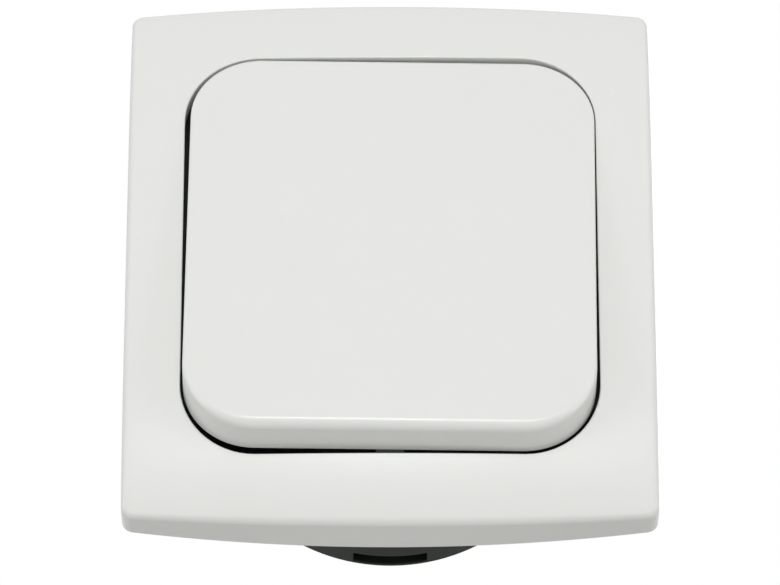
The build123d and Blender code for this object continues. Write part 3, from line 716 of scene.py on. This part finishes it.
floor_level, floor_glow_level = -0.8, 0.56
bpy.ops.object.select_all(action="DESELECT")
bpy.ops.mesh.primitive_plane_add(size=12, location=(0, 0, 0))
floor = bpy.context.object
floor.name = "floor"
for corner in floor.data.vertices:
    corner.co.z = floor_level
floor_paint, floor_out = start_material("pale_floor")
floor_shader = add_node(
    floor_paint, "ShaderNodeBsdfPrincipled", {"Base Color": linear("#e2e2e0"), "Roughness": 0.8}
)
floor_lift = add_node(
    floor_paint, "ShaderNodeMath", {"operation": "MULTIPLY", 1: floor_glow_level}, {0: background_ray(floor_paint)}
)
floor_glow = add_node(floor_paint, "ShaderNodeEmission", None, {"Strength": (floor_lift, 0)})
floor_sum = add_node(floor_paint, "ShaderNodeAddShader", None, {0: (floor_shader, 0), 1: (floor_glow, 0)})
floor_paint.node_tree.links.new(floor_sum.outputs[0], floor_out.inputs["Surface"])
dress(floor, floor_paint)

# The light: a bright room, brightest in front of the switch, a soft lamp a little above and one at each side, a small
# near one that draws the highlight on the rocker's edge, and one behind. Camera and mirrored rays see plain white.
world = bpy.data.worlds.new("studio")
bpy.context.scene.world = world
world.use_nodes = True
world.node_tree.nodes.clear()
world_out = add_node(world, "ShaderNodeOutputWorld")
toward = add_node(world, "ShaderNodeTexCoord")
toward_parts = add_node(world, "ShaderNodeSeparateXYZ", None, {"Vector": (toward, "Generated")})
room_level = add_node(
    world, "ShaderNodeMapRange", {"From Min": -1.0, "From Max": 0.0, "To Min": 1.13, "To Max": 0.2},
    {"Value": (toward_parts, "Y")},
)
seen = add_node(world, "ShaderNodeBackground", {"Color": (1, 1, 1, 1), "Strength": 1.0})
ambient = add_node(world, "ShaderNodeBackground", {"Color": (1, 1, 1, 1)}, {"Strength": (room_level, "Result")})
choose = add_node(world, "ShaderNodeMixShader", None, {"Fac": background_ray(world)})
world.node_tree.links.new(ambient.outputs[0], choose.inputs[1])
world.node_tree.links.new(seen.outputs[0], choose.inputs[2])
world.node_tree.links.new(choose.outputs[0], world_out.inputs["Surface"])


def add_lamp(name, width, height, energy, rise, distance, azimuth=0):
    """A soft rectangular lamp aimed at the switch from this rise and azimuth in degrees, which is plus to the right."""
    lamp_data = bpy.data.lights.new(name, "AREA")
    lamp_data.shape = "RECTANGLE"
    lamp_data.size = width
    lamp_data.size_y = height
    lamp_data.energy = energy
    lamp = bpy.data.objects.new(name, lamp_data)
    bpy.context.collection.objects.link(lamp)
    aim = Matrix.Rotation(math.radians(azimuth), 4, "Z") @ Matrix.Rotation(math.radians(90 - rise), 4, "X")
    lamp.matrix_world = aim @ Matrix.Translation((0, 0, distance))
    lamp.visible_camera = False


add_lamp("key", 0.35, 0.35, 2.8, 12, 1.6)
add_lamp("right_side", 0.6, 0.6, 2.6, -8, 1.3, 62)
add_lamp("left_side", 0.6, 0.6, 2.9, -8, 1.3, -62)
add_lamp("glint", 0.015, 0.04, 0.018, 8, 0.19)
add_lamp("rear", 0.8, 0.8, 5.0, 35, 1.6, 150)

# The camera: in front of the switch and well below it, looking up, with a long lens, as the photograph was taken.
camera_data = bpy.data.cameras.new("camera")
camera_data.sensor_width = 36.0
camera_data.lens = 265.95
camera_data.shift_x = -0.00153
camera_data.shift_y = -0.00178
camera_data.clip_start = 0.01
camera = bpy.data.objects.new("camera", camera_data)
bpy.context.collection.objects.link(camera)
camera.location = (0.000155, -0.775357, -0.41351)
camera.rotation_euler = (math.radians(90 + 27.91), 0, 0)
bpy.context.scene.camera = camera
bpy.context.scene.view_settings.view_transform = "Standard"
